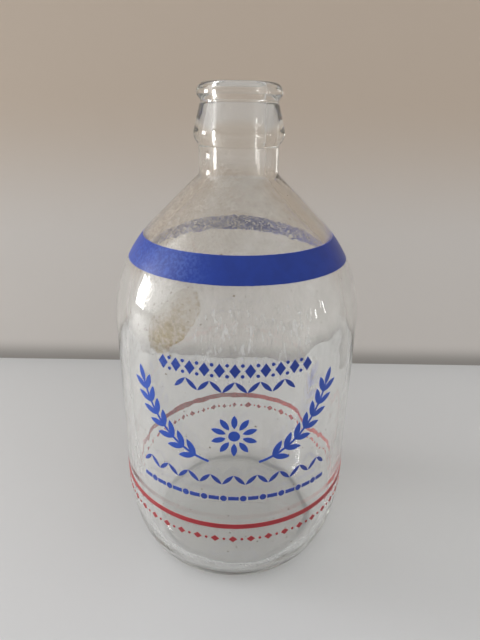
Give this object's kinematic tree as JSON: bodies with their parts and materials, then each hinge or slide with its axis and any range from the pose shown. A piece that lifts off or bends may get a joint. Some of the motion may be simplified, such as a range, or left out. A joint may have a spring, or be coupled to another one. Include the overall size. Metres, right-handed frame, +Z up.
{
  "type": "glass milk bottle",
  "caption": "Clear glass milk bottle with a domed shoulder, a short neck, a crown-cork finish and a blue and red enamel print.",
  "frame": {"origin": "centre of the standing ring, on the plane that the bottle rests on", "axes": "+Z up along the bottle's axis through the mouth; the front of the print faces -Y, and +X is to its right"},
  "size_m": [0.0852, 0.0852, 0.1666],
  "materials": {
    "clear_glass": "clear soda-lime glass, polished, with light scuffs",
    "blue_enamel": "fired ceramic enamel, satin, slightly worn",
    "red_enamel": "fired ceramic enamel, satin, slightly worn"
  },
  "bodies": {
    "root": {"bottle_glass": "clear_glass", "shoulder_band": "blue_enamel", "lozenge_row": "blue_enamel", "upper_leaf_row": "blue_enamel", "daisy": "blue_enamel", "left_spray": "blue_enamel", "right_spray": "blue_enamel", "lower_leaf_row": "blue_enamel", "dash_row": "blue_enamel", "red_line": "red_enamel", "red_row": "red_enamel"}
  },
  "joints": []
}
